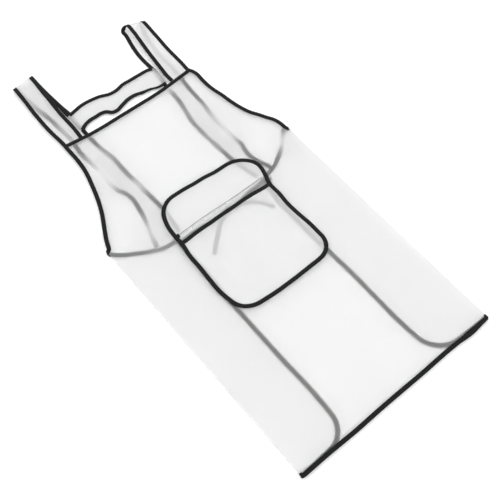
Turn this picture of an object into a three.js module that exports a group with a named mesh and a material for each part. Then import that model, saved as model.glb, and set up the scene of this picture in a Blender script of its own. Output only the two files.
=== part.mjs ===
// Wrap-around bib apron in frosted film with bound edges, lying flat and face up.
// Millimetres. +X runs across the apron, +Y towards the shoulders, +Z up.
// Every piece is placed from the hem (y = 0), and the whole is then centred on its box.
import * as THREE from "three";

// ---- Driving dimensions ----
const film = 0.4; // thickness of the film panels
const tape = 0.5; // thickness of the binding tape
const bindingWidth = 8.5; // finished width of the binding, folded over an edge
const clearance = 0.3; // gap between pieces that touch

const bodyHalf = 225; // half the skirt's folded width
const bodyLength = 800; // hem to bib top
const bibHalf = 156; // half the bib's top edge, between binding centres
const bibDip = 8; // how far the bib's top edge sags at its middle
const armholeDepth = 255; // bib top to the lower end of the armhole
const wingReach = 120; // side fold to the back opening's edge
const wingDrop = 63; // fall of the wing's top edge from the side fold to the opening
const wingCorner = 52; // radius of the wing's lower corner

const strapWidth = 38; // between the strap's two binding centres
const loopHeight = { left: 200, right: 176 }; // bib top to the shoulder fold
const loopBulge = { left: 3, right: 8 }; // how far the shoulder fold stands up
const foldHeight = 75; // bib top to the line where a shoulder loop folds over
const foldGap = 4; // gap left in the strap at that line
const backShift = 38; // how far inside the bib's corner the rear strap starts

const bandGap = 15; // bib top to the lower edge of the back band
const bandHeight = 46; // between the back band's two binding centres
const bandOverlap = 10; // how far the band's ends reach over the rear straps

const pocketHalf = 108; // half the pocket's width, between binding centres
const pocketDepth = 187;
const pocketCorner = 38;
const mouthDrop = 334; // bib top to the pocket's mouth
const pocketRise = 5.5; // how far the pocket's front stands off the apron
const riseRun = 40; // width of the slope between the pocket's rim and its front

const flapRoot = 21; // pocket mouth to the flap's fold line
const flapHeight = 71;
const flapHalf = 112;
const flapCorner = 55;
const flapGap = 2; // fold line to the edge of the moving flap

const tieWidth = 8.5;
const tieThickness = 1;
const knot = { x: 2, drop: 9, length: 22, width: 16 };

// ---- Heights of the layers, from the table up ----
const half = bindingWidth / 2;
const bindingThickness = 2 * tape + film + 2 * clearance;
const backZ = bindingThickness / 2; // wings and rear straps
const bandZ = backZ + bindingThickness + clearance; // back band, on the straps
const frontZ = bandZ + bindingThickness + clearance; // bib, skirt and front straps
const foldRadius = (frontZ - backZ) / 2;
const trimZ = frontZ + film / 2 + clearance + backZ; // pocket and flap, on the skirt
const rootZ = frontZ + film / 2 + clearance + film / 2; // flap's sewn root
const tieZ = bindingThickness + clearance + tieThickness / 2;

// ---- Places that several pieces share ----
const sides = [["left", -1], ["right", 1]];
const hemY = half;
const foldX = bodyHalf - foldRadius - film / 2; // where the side fold's curve starts
const bindingEndX = foldX - clearance - film * 4; // hem and wing bindings stop here
const armholeY = bodyLength - armholeDepth;
const wingX = bodyHalf - wingReach;
const wingTopY = armholeY - wingDrop;
const strapX = bibHalf - strapWidth / 2;
const strapFootY = bodyLength + half + clearance;
const foldY = bodyLength + foldHeight;
const mouthY = bodyLength - mouthDrop;
const flapY = mouthY + flapRoot;
const knotY = wingTopY - knot.drop;
const overallLength = bodyLength + loopHeight.left;

// ---- Materials ----
const frosted = new THREE.MeshStandardMaterial({
  color: 0xf1f2f2, roughness: 0.35, metalness: 0, transparent: true, opacity: 0.4,
});
const woven = new THREE.MeshStandardMaterial({ color: 0x242425, roughness: 0.85, metalness: 0 });

// ---- Helpers ----
const garment = new THREE.Group();
garment.position.y = -overallLength / 2;
const apron = new THREE.Group();
apron.add(garment);

function piece(name, geometry, material) {
  const mesh = new THREE.Mesh(geometry, material.clone());
  mesh.name = name;
  garment.add(mesh);
}

const point = (x, y, z) => new THREE.Vector3(x, y, z);

// A curve through space over a flat path, at the height that heightAt gives for each x.
function lift(flatPath, heightAt) {
  const curve = new THREE.Curve();
  curve.getPoint = (t, target = new THREE.Vector3()) => {
    const p = flatPath.getPoint(t);
    return target.set(p.x, p.y, heightAt(p.x));
  };
  return curve;
}

// Frames that hold a section's second axis to the left of the path, so a tape never twists.
// A path that turns over, such as a shoulder loop, keeps it along the given direction.
function framesAlong(path, count, across) {
  const frames = { tangents: [], normals: [], binormals: [] };
  for (let i = 0; i <= count; i++) {
    const tangent = path.getTangentAt(i / count);
    const left = across ? across.clone() : new THREE.Vector3(0, 0, 1).cross(tangent);
    left.addScaledVector(tangent, -left.dot(tangent)).normalize();
    frames.tangents.push(tangent);
    frames.normals.push(new THREE.Vector3().crossVectors(left, tangent));
    frames.binormals.push(left);
  }
  return frames;
}

// A section (first axis down through the sheet, second to the left) carried along a path.
function sweep(section, path, steps, across) {
  path.computeFrenetFrames = (count) => framesAlong(path, count, across);
  return new THREE.ExtrudeGeometry(section, { steps, bevelEnabled: false, extrudePath: path });
}

function polygon(points) {
  return new THREE.Shape(points.map(([x, y]) => new THREE.Vector2(x, y)));
}

// Folded binding in section: two legs and a web, open on the side away from the web.
// web is 1 when it lies on the path's left, -1 on its right. offset moves it sideways.
function bindingSection(web, offset = 0) {
  const leg = bindingThickness / 2;
  const slot = leg - tape;
  const at = (down, out) => [down, offset + web * out];
  return polygon([
    at(-leg, half), at(-leg, -half), at(-slot, -half), at(-slot, half - tape),
    at(slot, half - tape), at(slot, -half), at(leg, -half), at(leg, half),
  ]);
}

function stripSection(width, thickness) {
  const w = width / 2;
  const t = thickness / 2;
  return polygon([[-t, -w], [t, -w], [t, w], [-t, w]]);
}

// Flat tape in section, with its four corners taken off.
function tieSection() {
  const w = tieWidth / 2;
  const t = tieThickness / 2;
  return polygon([
    [-t, -w * 0.8], [-t / 2, -w], [t / 2, -w], [t, -w * 0.8],
    [t, w * 0.8], [t / 2, w], [-t / 2, w], [-t, w * 0.8],
  ]);
}

// A closed sheet: a grid box whose points place(a, b, c) moves, with a, b and c from -1 to 1.
function sheet(across, along, place) {
  const geometry = new THREE.BoxGeometry(2, 2, 2, across, along, 1);
  const position = geometry.getAttribute("position");
  for (let i = 0; i < position.count; i++) {
    const p = place(position.getX(i), position.getY(i), position.getZ(i));
    position.setXYZ(i, p.x, p.y, p.z);
  }
  geometry.computeVertexNormals();
  return geometry;
}

// Smooth slope from 0 to 1 as t goes from 0 to 1.
const slope = (t) => THREE.MathUtils.smoothstep(t, 0, 1);

// ---- Bib and skirt ----
const bibTopY = (x) => bodyLength - bibDip * (1 - (x / bibHalf) ** 2);

function armholeCurve(side) {
  return new THREE.CubicBezierCurve3(
    point(side * bibHalf, bodyLength, frontZ),
    point(side * bibHalf, bodyLength - armholeDepth * 0.4, frontZ),
    point(side * (bibHalf + (bodyHalf - bibHalf) / 2), bodyLength - armholeDepth * 0.745, frontZ),
    point(side * bindingEndX, armholeY, frontZ),
  );
}

function frontSheet() {
  const edgeX = foldX - clearance;
  const right = armholeCurve(1).getPoints(16).map((p) => [p.x, p.y]);
  const top = [];
  for (let i = 1; i < 12; i++) {
    const x = -bibHalf + (2 * bibHalf * i) / 12;
    top.push([x, bibTopY(x)]);
  }
  const outline = [
    ...top,
    ...right,
    [edgeX, armholeY - half], [edgeX, hemY], [-edgeX, hemY], [-edgeX, armholeY - half],
    ...right.map(([x, y]) => [-x, y]).reverse(),
  ];
  const geometry = new THREE.ExtrudeGeometry(polygon(outline), { depth: film, bevelEnabled: false });
  return geometry.translate(0, 0, frontZ - film / 2);
}

function bibTopBinding() {
  const endX = bibHalf - half - 2 * clearance;
  const path = new THREE.Curve();
  path.getPoint = (t) => {
    const x = endX * (2 * t - 1);
    return point(x, bibTopY(x), frontZ);
  };
  return sweep(bindingSection(1), path, 12);
}

function armholeBinding(side) {
  const path = new THREE.CurvePath();
  const corner = point(side * bibHalf, bodyLength, frontZ);
  path.add(new THREE.LineCurve3(corner.clone().setY(bodyLength + half), corner));
  path.add(armholeCurve(side));
  return sweep(bindingSection(side), path, 20);
}

function hemBinding() {
  const path = new THREE.LineCurve3(point(-bindingEndX, hemY, frontZ), point(bindingEndX, hemY, frontZ));
  return sweep(bindingSection(-1), path, 1);
}

piece("front_sheet", frontSheet(), frosted);
piece("bib_top_binding", bibTopBinding(), woven);
piece("front_hem_binding", hemBinding(), woven);
for (const [name, side] of sides) piece(name + "_armhole_binding", armholeBinding(side), woven);

// ---- Back wings: the skirt carried round its side folds ----
const wingTopAt = (x) => {
  const share = THREE.MathUtils.clamp((x - wingX) / (bindingEndX - wingX), 0, 1);
  return wingTopY + wingDrop * share ** 1.35;
};

const wingFootAt = (x) => {
  const run = Math.max(wingX + wingCorner - x, 0);
  return hemY + wingCorner - Math.sqrt(wingCorner ** 2 - run ** 2);
};

// The sheet goes from the front over the side fold (the first curl of its width) to the opening.
function wing(side) {
  const curl = 0.3;
  return sheet(20, 14, (a, b, c) => {
    const share = (a * side + 1) / 2;
    const radius = foldRadius + (c * film) / 2;
    const angle = Math.PI * (0.5 - Math.min(share / curl, 1));
    const flat = Math.max((share - curl) / (1 - curl), 0);
    const edgeX = foldX + (wingX - foldX) * flat;
    const y = THREE.MathUtils.lerp(wingFootAt(edgeX), wingTopAt(edgeX), (b + 1) / 2);
    const x = edgeX + radius * Math.cos(angle);
    return point(side * x, y, backZ + foldRadius + radius * Math.sin(angle));
  });
}

function wingTopBinding(side) {
  const startX = wingX + half + 4 * clearance; // both its ends lie on a slant
  const endX = bindingEndX - half / 2;
  const path = new THREE.Curve();
  path.getPoint = (t) => {
    const x = THREE.MathUtils.lerp(startX, endX, t);
    return point(side * x, wingTopAt(x), backZ);
  };
  return sweep(bindingSection(side), path, 10);
}

function wingEdgeBinding(side) {
  const path = new THREE.Path();
  const cornerX = wingX + wingCorner;
  path.moveTo(side * wingX, wingTopY + half);
  path.lineTo(side * wingX, hemY + wingCorner);
  const start = side > 0 ? Math.PI : 0;
  path.absarc(side * cornerX, hemY + wingCorner, wingCorner, start, 1.5 * Math.PI, side < 0);
  path.lineTo(side * bindingEndX, hemY);
  return sweep(bindingSection(-side), lift(path, () => backZ), 48);
}

for (const [name, side] of sides) {
  piece(name + "_wing", wing(side), frosted);
  piece(name + "_wing_top_binding", wingTopBinding(side), woven);
  piece(name + "_wing_edge_binding", wingEdgeBinding(side), woven);
}

// ---- Shoulder straps: front stub, loop over the shoulder, and rear run to the wing ----
// Each is a film strip between an inner and an outer binding, all on one path in +Y.
function strapRun(prefix, side, path, steps, across) {
  const film_ = stripSection(strapWidth, film);
  const inward = side; // the garment's middle is on the left of a right-hand strap
  piece(prefix, sweep(film_, path, steps, across), frosted);
  const inner = bindingSection(inward, (inward * strapWidth) / 2);
  const outer = bindingSection(-inward, (-inward * strapWidth) / 2);
  piece(prefix + "_inner_binding", sweep(inner, path, steps, across), woven);
  piece(prefix + "_outer_binding", sweep(outer, path, steps, across), woven);
}

function frontStrapPath(side) {
  return new THREE.LineCurve3(
    point(side * strapX, strapFootY, frontZ),
    point(side * strapX, foldY - foldGap / 2, frontZ),
  );
}

function rearStrapPath(side) {
  const topX = bibHalf - backShift;
  const waistX = bibHalf - backShift - 13;
  return new THREE.CatmullRomCurve3([
    point(side * (wingX + 20), wingTopY + 17.5, backZ),
    point(side * (wingX + 6), wingTopY + 64, backZ),
    point(side * waistX, wingTopY + 130, backZ),
    point(side * (topX - 3), bodyLength - 35, backZ),
    point(side * topX, foldY - foldGap / 2, backZ),
  ]);
}

// Up the front, over the shoulder fold in a half round, and down the back, drifting inwards.
function loopPath(name, side) {
  const topZ = frontZ + loopBulge[name];
  const radius = (topZ - backZ) / 2;
  const topY = bodyLength + loopHeight[name] - backZ - radius;
  const startY = foldY + foldGap / 2;
  const ease = (topY - startY) * 0.4;
  const rearX = bibHalf - backShift;
  const crown = (radius * 4) / 3;
  const path = new THREE.CurvePath();
  const bend = (...p) => path.add(new THREE.CubicBezierCurve3(...p.map(([x, y, z]) => point(side * x, y, z))));
  bend([strapX, startY, frontZ], [strapX, startY + ease, frontZ],
    [strapX, topY - ease, topZ], [strapX, topY, topZ]);
  bend([strapX, topY, topZ], [strapX, topY + crown, topZ],
    [strapX, topY + crown, backZ], [strapX, topY, backZ]);
  bend([strapX, topY, backZ], [strapX, topY - ease, backZ],
    [rearX, startY + ease, backZ], [rearX, startY, backZ]);
  return path;
}

for (const [name, side] of sides) {
  strapRun(name + "_front_strap", side, frontStrapPath(side), 1);
  strapRun(name + "_rear_strap", side, rearStrapPath(side), 16);
  strapRun(name + "_strap_loop", side, loopPath(name, side), 44, point(-1, 0, 0));
}

// ---- Back band, sewn on the rear straps above the bib ----
function bandPath(height) {
  const endX = bibHalf - backShift - strapWidth / 2 + bandOverlap;
  const y = bodyLength + bandGap + height;
  return new THREE.LineCurve3(point(-endX, y, bandZ), point(endX, y, bandZ));
}

const bandMiddle = bandPath(bandHeight / 2);
piece("back_band", sweep(stripSection(bandHeight, film), bandMiddle, 1), frosted);
piece("band_lower_binding", sweep(bindingSection(-1), bandPath(0), 1), woven);
piece("band_upper_binding", sweep(bindingSection(1), bandPath(bandHeight), 1), woven);

// ---- Pocket ----
const pocketFootY = mouthY - pocketDepth;

const pocketHalfAt = (y) => {
  const run = Math.max(pocketFootY + pocketCorner - y, 0);
  return pocketHalf - pocketCorner + Math.sqrt(pocketCorner ** 2 - run ** 2);
};

const pocketZ = (fromSide, fromFoot) => {
  const rim = half + 2 * clearance;
  const rise = slope((fromSide - rim) / riseRun) * slope((fromFoot - rim) / riseRun);
  return trimZ + pocketRise * rise;
};

function pocketPanel() {
  return sheet(24, 14, (a, b, c) => {
    const y = pocketFootY + pocketDepth * ((b + 1) / 2) ** 1.5;
    const halfWidth = pocketHalfAt(y);
    const x = a * halfWidth;
    return point(x, y, pocketZ(halfWidth - Math.abs(x), y - pocketFootY) + (c * film) / 2);
  });
}

function pocketBinding() {
  const path = new THREE.Path();
  const cornerX = pocketHalf - pocketCorner;
  const cornerY = pocketFootY + pocketCorner;
  path.moveTo(-pocketHalf, mouthY + half);
  path.lineTo(-pocketHalf, cornerY);
  path.absarc(-cornerX, cornerY, pocketCorner, Math.PI, 1.5 * Math.PI, false);
  path.lineTo(cornerX, pocketFootY);
  path.absarc(cornerX, cornerY, pocketCorner, 1.5 * Math.PI, 2 * Math.PI, false);
  path.lineTo(pocketHalf, mouthY + half);
  return sweep(bindingSection(-1), lift(path, () => trimZ), 52);
}

function mouthBinding() {
  const endX = pocketHalf - half - clearance;
  const path = new THREE.Path().moveTo(-endX, mouthY).lineTo(endX, mouthY);
  const heightAt = (x) => pocketZ(pocketHalf - Math.abs(x), pocketDepth);
  return sweep(bindingSection(1), lift(path, heightAt), 24);
}

piece("pocket_panel", pocketPanel(), frosted);
piece("pocket_binding", pocketBinding(), woven);
piece("pocket_mouth_binding", mouthBinding(), woven);

// ---- Flap, turned up from its fold line above the pocket's mouth ----
function flapRootStrip() {
  const low = mouthY + half + 2 * clearance;
  const path = new THREE.LineCurve3(
    point(-pocketHalf, (low + flapY) / 2, rootZ), point(pocketHalf, (low + flapY) / 2, rootZ),
  );
  return sweep(stripSection(flapY - low, film), path, 1);
}

function flapOutline(path) {
  const cornerX = flapHalf - flapCorner;
  const cornerY = flapY + flapHeight - flapCorner;
  path.moveTo(flapHalf, flapY + flapGap);
  path.lineTo(flapHalf, cornerY);
  path.absarc(cornerX, cornerY, flapCorner, 0, Math.PI / 2, false);
  path.lineTo(-cornerX, cornerY + flapCorner);
  path.absarc(-cornerX, cornerY, flapCorner, Math.PI / 2, Math.PI, false);
  path.lineTo(-flapHalf, flapY + flapGap);
  return path;
}

function flapPanel() {
  const options = { depth: film, bevelEnabled: false, curveSegments: 8 };
  const geometry = new THREE.ExtrudeGeometry(flapOutline(new THREE.Shape()), options);
  return geometry.translate(0, 0, trimZ - film / 2);
}

function flapBinding() {
  const path = flapOutline(new THREE.Path());
  return sweep(bindingSection(-1), lift(path, () => trimZ), 36);
}

piece("flap_root", flapRootStrip(), frosted);
piece("pocket_flap", flapPanel(), frosted);
piece("flap_binding", flapBinding(), woven);

// ---- Waist ties, knotted behind the skirt ----
const knotZ = frontZ - film / 2 - clearance; // highest point that the knot may reach

function waistTie(side) {
  const knotX = knot.x + side * (knot.length / 2 + clearance);
  const path = new THREE.LineCurve3(
    point(side * (wingX + tieWidth), wingTopY - tieWidth, tieZ),
    point(knotX, knotY, tieZ),
  );
  return sweep(tieSection(), path, 1);
}

function waistKnot() {
  const geometry = new THREE.SphereGeometry(0.5, 16, 10);
  geometry.scale(knot.length, knot.width, knotZ - clearance);
  return geometry.translate(knot.x, knotY, (knotZ + clearance) / 2);
}

// Both tails leave the knot downwards and lie on the table between the wings.
const tailRoutes = {
  left: [[-11, -5, 1.4], [-27, -12, 1.1], [-45, -27, 0.9], [-62, -42, 0.9], [-78, -58, 0.9]],
  right: [[12, -4, 1.4], [32, -5, 1.1], [54, -17, 0.9], [68, -34, 0.9], [76, -50, 0.9]],
};

function tail(route) {
  const path = new THREE.CatmullRomCurve3(
    route.map(([x, y, z]) => point(knot.x + x, knotY + y, z)),
  );
  return sweep(tieSection(), path, 16);
}

for (const [name, side] of sides) {
  piece(name + "_waist_tie", waistTie(side), woven);
  piece(name + "_tie_tail", tail(tailRoutes[name]), woven);
}
piece("waist_knot", waistKnot(), woven);

export default apron;
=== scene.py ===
# %% [markdown]
# # A frosted film apron, laid flat
# This salon apron is made of soft film that lets light through and blurs what lies behind it.
# Black tape is folded over every cut edge and sewn down. It lies face up, so its back panels,
# rear straps and waist ties show as grey shapes through the front.
# The work goes: camera and light, finishes, film panels, edge tapes, ties, then stitches.

# %% Load the apron's frame
import math

import bmesh
import bpy
import numpy as np
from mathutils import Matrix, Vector


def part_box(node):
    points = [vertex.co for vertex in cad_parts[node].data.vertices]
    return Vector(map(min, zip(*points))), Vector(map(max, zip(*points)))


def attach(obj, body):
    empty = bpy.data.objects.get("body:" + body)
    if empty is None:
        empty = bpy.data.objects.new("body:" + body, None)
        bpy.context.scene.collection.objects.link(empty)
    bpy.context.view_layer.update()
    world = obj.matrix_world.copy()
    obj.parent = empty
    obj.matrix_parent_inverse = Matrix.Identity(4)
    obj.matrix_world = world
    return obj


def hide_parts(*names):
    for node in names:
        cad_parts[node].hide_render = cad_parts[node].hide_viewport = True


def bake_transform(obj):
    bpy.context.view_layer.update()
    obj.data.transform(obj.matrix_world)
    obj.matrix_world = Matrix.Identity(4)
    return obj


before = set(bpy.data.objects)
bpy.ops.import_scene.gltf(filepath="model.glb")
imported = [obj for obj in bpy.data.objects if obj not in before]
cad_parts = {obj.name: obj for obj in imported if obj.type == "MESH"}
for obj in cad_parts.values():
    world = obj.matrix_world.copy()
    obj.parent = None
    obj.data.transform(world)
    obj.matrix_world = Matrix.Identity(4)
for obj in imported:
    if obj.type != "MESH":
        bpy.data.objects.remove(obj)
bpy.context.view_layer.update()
MM = 0.001  # shapes below are worked out in millimetres

# %% [markdown]
# ## Camera and light
# Film has no colour of its own. It takes its look from what is behind it, so the room comes
# first: a pale table and an even white sky. A ring of lamps would also be bright, but each lamp
# would leave a hard shadow under the film. An even sky has no bright spot, so it leaves none.
# One wide, weak lamp gives the folds a little shine.

# %% Camera
scene = bpy.context.scene


def aim(thing, place, target):
    """Stand a camera or a lamp at a place, turned to look at a target, in metres."""
    thing.location = place
    look = Vector(target) - thing.location
    thing.rotation_euler = look.to_track_quat("-Z", "Y").to_euler()
    return look.length


camera = bpy.data.objects.new("camera", bpy.data.cameras.new("camera"))
scene.collection.objects.link(camera)
scene.camera = camera
camera.data.lens = 58.5
reach = aim(camera, (-0.4745, -0.6707, 1.356), (-0.0182, -0.1195, 0.0))
print("camera stands", round(reach, 3), "m from the apron")

# %% Sky and lamp
SKY_STRENGTH = 1.12
scene.view_settings.view_transform = "Standard"
world = bpy.data.worlds.new("even_sky")
scene.world = world
world.use_nodes = True
sky = world.node_tree.nodes["Background"]
sky.inputs["Color"].default_value = (1.0, 1.0, 1.0, 1.0)
sky.inputs["Strength"].default_value = SKY_STRENGTH

lamp = bpy.data.objects.new("wide_lamp", bpy.data.lights.new("wide_lamp", "AREA"))
scene.collection.objects.link(lamp)
lamp.data.size = 1.6
lamp.data.energy = 4.0
aim(lamp, (0.7, 1.3, 1.6), (0, 0, 0))
print("sky strength", SKY_STRENGTH)

# %% Table
TABLE_DROP = 0.0004  # the table is a hair below the tapes, so no two faces share a level
bpy.ops.mesh.primitive_plane_add(size=8.0, location=(0, 0, -TABLE_DROP))
table = bpy.context.object
table.name = "pale_table"
print("table top at", -TABLE_DROP, "m")

# %% [markdown]
# ## Finishes
# Long faint streaks in the film's colour are painted shade, standing in for its shallow creases.
# The film is cast with a fine matt face. Each face is mostly rough glass, which blurs whatever
# is further away, with a share of plain white scatter that gives the milky veil. Its index is
# set low, because real film is too thin to bend light as a thick pane does. Some places are
# hazier than others, so each point of the film may store how hazy it is, in `haze`.
# Glass could be used everywhere, but where film lies close against other film or the table it
# has little to blur, and every extra pane of glass darkens what is below. There a thin
# see-through white does the same work.
# The tape is a plain weave of black thread. Its threads follow the tape round every bend, so
# the pattern runs on two numbers that each tape stores on its own mesh: `along` and `around`.


# %% Material helpers
def new_finish(name, colour=None, **sockets):
    """A material with one Principled shader, its plain sockets set by name."""
    finish = bpy.data.materials.new(name)
    finish.use_nodes = True
    shader = finish.node_tree.nodes["Principled BSDF"]
    if colour:
        shader.inputs["Base Color"].default_value = (*colour, 1.0)
    for socket, value in sockets.items():
        shader.inputs[socket.replace("_", " ")].default_value = value
    return finish, finish.node_tree, shader


def add_node(tree, kind, **inputs):
    """A node of a kind, with its number inputs set by name."""
    node = tree.nodes.new(kind)
    for socket, value in inputs.items():
        node.inputs[socket.replace("_", " ")].default_value = value
    return node


def maths(tree, operation, *values):
    """The result of a Math node. Each value is a number, or a socket to link."""
    node = tree.nodes.new("ShaderNodeMath")
    node.operation = operation
    for socket, value in zip(node.inputs, values):
        if isinstance(value, (int, float)):
            socket.default_value = value
        else:
            tree.links.new(value, socket)
    return node.outputs[0]


def stored(tree, attribute):
    """The socket of a number that a mesh stores at each of its points."""
    read = tree.nodes.new("ShaderNodeAttribute")
    read.attribute_name = attribute
    return read.outputs["Fac"]


def ramp_between(tree, source, low, high):
    """A colour that runs from low to high as a source socket runs from 0 to 1."""
    ramp = tree.nodes.new("ShaderNodeValToRGB")
    ramp.color_ramp.elements[0].color = (*low, 1.0)
    ramp.color_ramp.elements[1].color = (*high, 1.0)
    tree.links.new(source, ramp.inputs["Fac"])
    return ramp.outputs["Color"]


def roughen(tree, shader, height, strength, distance):
    """Bump a shader's surface by a height socket. The distance is in metres."""
    bump = add_node(tree, "ShaderNodeBump", Strength=strength, Distance=distance)
    tree.links.new(height, bump.inputs["Height"])
    tree.links.new(bump.outputs["Normal"], shader.inputs["Normal"])


print("material helpers ready")

# %% Frosted film
FILM_VEIL = 0.12  # share of white scatter in clear film
HAZY_PASS = 0.35  # share of light that still goes through where the film is haziest
HAZY_WHITE = (0.955, 0.955, 0.955)


def frosted_film(name, tint, veil, roughness, index):
    """Film that passes blurred light, veiled by its own white scatter and streaked with painted
    crease shade.
    """
    finish, tree, shader = new_finish(name, Roughness=roughness, IOR=index)
    places = tree.nodes.new("ShaderNodeTexCoord").outputs["Object"]
    # long soft streaks, up to 3% darker, in the film's colour are painted shade for its shallow
    # creases
    stretch = add_node(tree, "ShaderNodeMapping", Scale=(24.0, 3.0, 6.0))
    tree.links.new(places, stretch.inputs["Vector"])
    crease_shade_noise = add_node(tree, "ShaderNodeTexNoise", Scale=1.0, Detail=2.5, Roughness=0.5)
    tree.links.new(stretch.outputs["Vector"], crease_shade_noise.inputs["Vector"])
    crease_shade_tint = tuple(c * 0.97 for c in tint)
    crease_shaded_tint = ramp_between(tree, crease_shade_noise.outputs["Fac"], crease_shade_tint, tint)
    haze = stored(tree, "haze")
    passed = tree.nodes.new("ShaderNodeMapRange")
    passed.inputs["To Min"].default_value = 1.0 - veil
    passed.inputs["To Max"].default_value = HAZY_PASS
    tree.links.new(haze, passed.inputs["Value"])
    tree.links.new(passed.outputs["Result"], shader.inputs["Transmission Weight"])
    whiter = tree.nodes.new("ShaderNodeMix")
    whiter.data_type = "RGBA"
    whiter.inputs["B"].default_value = (*HAZY_WHITE, 1.0)
    tree.links.new(haze, whiter.inputs["Factor"])
    tree.links.new(crease_shaded_tint, whiter.inputs["A"])
    tree.links.new(whiter.outputs["Result"], shader.inputs["Base Color"])
    grain = add_node(tree, "ShaderNodeTexNoise", Scale=900.0, Detail=2.0)
    tree.links.new(places, grain.inputs["Vector"])
    roughen(tree, shader, grain.outputs["Fac"], 0.12, 0.0002)
    return finish


film_finish = frosted_film("frosted_film", (0.916, 0.916, 0.916), FILM_VEIL, 0.85, 1.16)
print("film lets through", 1 - FILM_VEIL, "of the light, or", HAZY_PASS, "where it is haziest")


# %% Thin veils
def thin_veil(name, white, cover):
    """Plain white scatter that covers a share of what lies close behind it."""
    return new_finish(name, (white, white, white), Roughness=0.5, Alpha=cover)[0]


close_finish = thin_veil("frosted_film_close", 0.95, 0.07)
strap_finish = thin_veil("frosted_film_strap", 0.9, 0.14)
pouch_finish = thin_veil("frosted_film_pouch", 0.975, 0.28)
print("three thin veils made")

# %% Woven tape
THREAD_PITCHES = {"along": 0.62, "around": 0.55}  # mm from thread to thread


def woven_tape(name, dark, light):
    """Plain-weave tape: threads along and across, with painted highlight where they crown and
    painted shade between them.
    """
    finish, tree, shader = new_finish(name, Roughness=0.78, IOR=1.45, Specular_IOR_Level=0.12,
                                      Sheen_Weight=0.06, Sheen_Roughness=0.5)
    waves = []
    for attribute, pitch in THREAD_PITCHES.items():
        turns = maths(tree, "MULTIPLY", stored(tree, attribute), 2 * math.pi / pitch)
        waves.append(maths(tree, "SINE", turns))
    weave = maths(tree, "MULTIPLY_ADD", *waves, 0.5)
    # the colour ramp is painted light: lighter on thread crowns, darker in the hollows; the same
    # weave is also a real bump
    tree.links.new(ramp_between(tree, weave, dark, light), shader.inputs["Base Color"])
    roughen(tree, shader, weave, 0.35, 0.0001)
    return finish


tape_finish = woven_tape("black_woven_tape", (0.006, 0.006, 0.0065), (0.018, 0.018, 0.019))
print("tape threads are", THREAD_PITCHES, "mm apart")

# %% Thread and table
thread_finish = new_finish("black_thread", (0.02, 0.02, 0.021), Roughness=0.6,
                           Specular_IOR_Level=0.2)[0]
# a faint glow of its own keeps the table white under the film and up to its edges
table_finish = new_finish("pale_table", (0.96, 0.96, 0.96), Roughness=0.9,
                          Emission_Color=(1.0, 1.0, 1.0, 1.0), Emission_Strength=0.12)[0]
table.data.materials.append(table_finish)
print("thread and table finishes made")

# %% [markdown]
# ## Sizes from the frame
# Every level and edge is read from the frame's own parts, so the soft pieces land where the
# hard ones are. Typing the same sizes again would work only until one of them changed. Small
# offsets, in millimetres, say how the film happens to lie.


# %% Levels and edges
def span(node, axis):
    """Lowest and highest value of a frame part along an axis, in mm."""
    low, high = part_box(node)
    return low[axis] / MM, high[axis] / MM


def middle(node, axis):
    return sum(span(node, axis)) / 2


BACK_Z = middle("left_rear_strap", 2) + 0.3  # the tape below the film keeps it off the table
BAND_Z = middle("back_band", 2)
FRONT_Z = middle("front_sheet", 2)
TRIM_Z = middle("pocket_flap", 2)
HEM_Y = middle("front_hem_binding", 1)
BIB_Y = span("front_sheet", 1)[1]
BIB_X = abs(middle("left_front_strap_outer_binding", 0))
FOLD_X = abs(span("left_wing", 0)[0])  # the skirt's side folds
FOLD_RADIUS = (FRONT_Z - BACK_Z) / 2
SIDE_X = FOLD_X - FOLD_RADIUS  # where the front turns into a side fold
WING_X = abs(span("left_wing", 0)[1])  # edge of each wing at the back opening
ARMHOLE_Y = span("left_wing", 1)[1]
print("front film at z", round(FRONT_Z, 2), "mm, back film at", round(BACK_Z, 2), "mm")

# %% Sizes of straps, pocket and flap
POCKET_X = span("pocket_panel", 0)[1]
POCKET_FOOT_Y, MOUTH_Y = span("pocket_panel", 1)
FLAP_X = span("pocket_flap", 0)[1]
FLAP_LOW_Y, FLAP_FOLD_Y = span("flap_root", 1)
FLAP_TOP_Y = span("pocket_flap", 1)[1]
print("pocket", round(2 * POCKET_X), "by", round(MOUTH_Y - POCKET_FOOT_Y), "mm")

# %% [markdown]
# ## Lines and surfaces
# A sewing pattern is all smooth lines. `smooth_line` runs one through a few points and then
# sets points evenly along it. A Bezier curve would draw the same line, but as plain points it
# can also steer the film's grids. `ripple` adds up a few long waves with fixed seeds: it is the
# unevenness of soft film, and the same on every run.


# %% Points along a line
def run_lengths(line):
    """How far along a line each of its points lies, in mm."""
    return np.concatenate([[0], np.cumsum(np.linalg.norm(np.diff(line, axis=0), axis=1))])


def spread_points(line, count):
    """A number of points spread evenly along a line."""
    run = run_lengths(line)
    places = np.linspace(0, run[-1], count)
    return np.column_stack([np.interp(places, run, line[:, i]) for i in range(line.shape[1])])


def even_points(line, step):
    """The same line with its points step mm apart, or as near as divides it evenly."""
    return spread_points(line, max(int(round(run_lengths(line)[-1] / step)), 2) + 1)


def smooth_line(points, step=4.0):
    """Even points, about step mm apart, on a smooth line through the given ones."""
    p = np.array(points, float)
    t = run_lengths(p)
    slopes = np.gradient(p, t, axis=0)
    fine = np.linspace(0, t[-1], 12 * len(p) + int(t[-1]))
    k = np.clip(np.searchsorted(t, fine, side="right") - 1, 0, len(t) - 2)
    h = (t[k + 1] - t[k])[:, None]
    u = (fine - t[k])[:, None] / h
    curve = ((2 * u**3 - 3 * u**2 + 1) * p[k] + (u**3 - 2 * u**2 + u) * h * slopes[k]
             + (3 * u**2 - 2 * u**3) * p[k + 1] + (u**3 - u**2) * h * slopes[k + 1])
    return even_points(curve, step)


print("a test line has", len(smooth_line([(0, 0, 0), (40, 10, 0), (90, 0, 0)])), "points")


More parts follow.
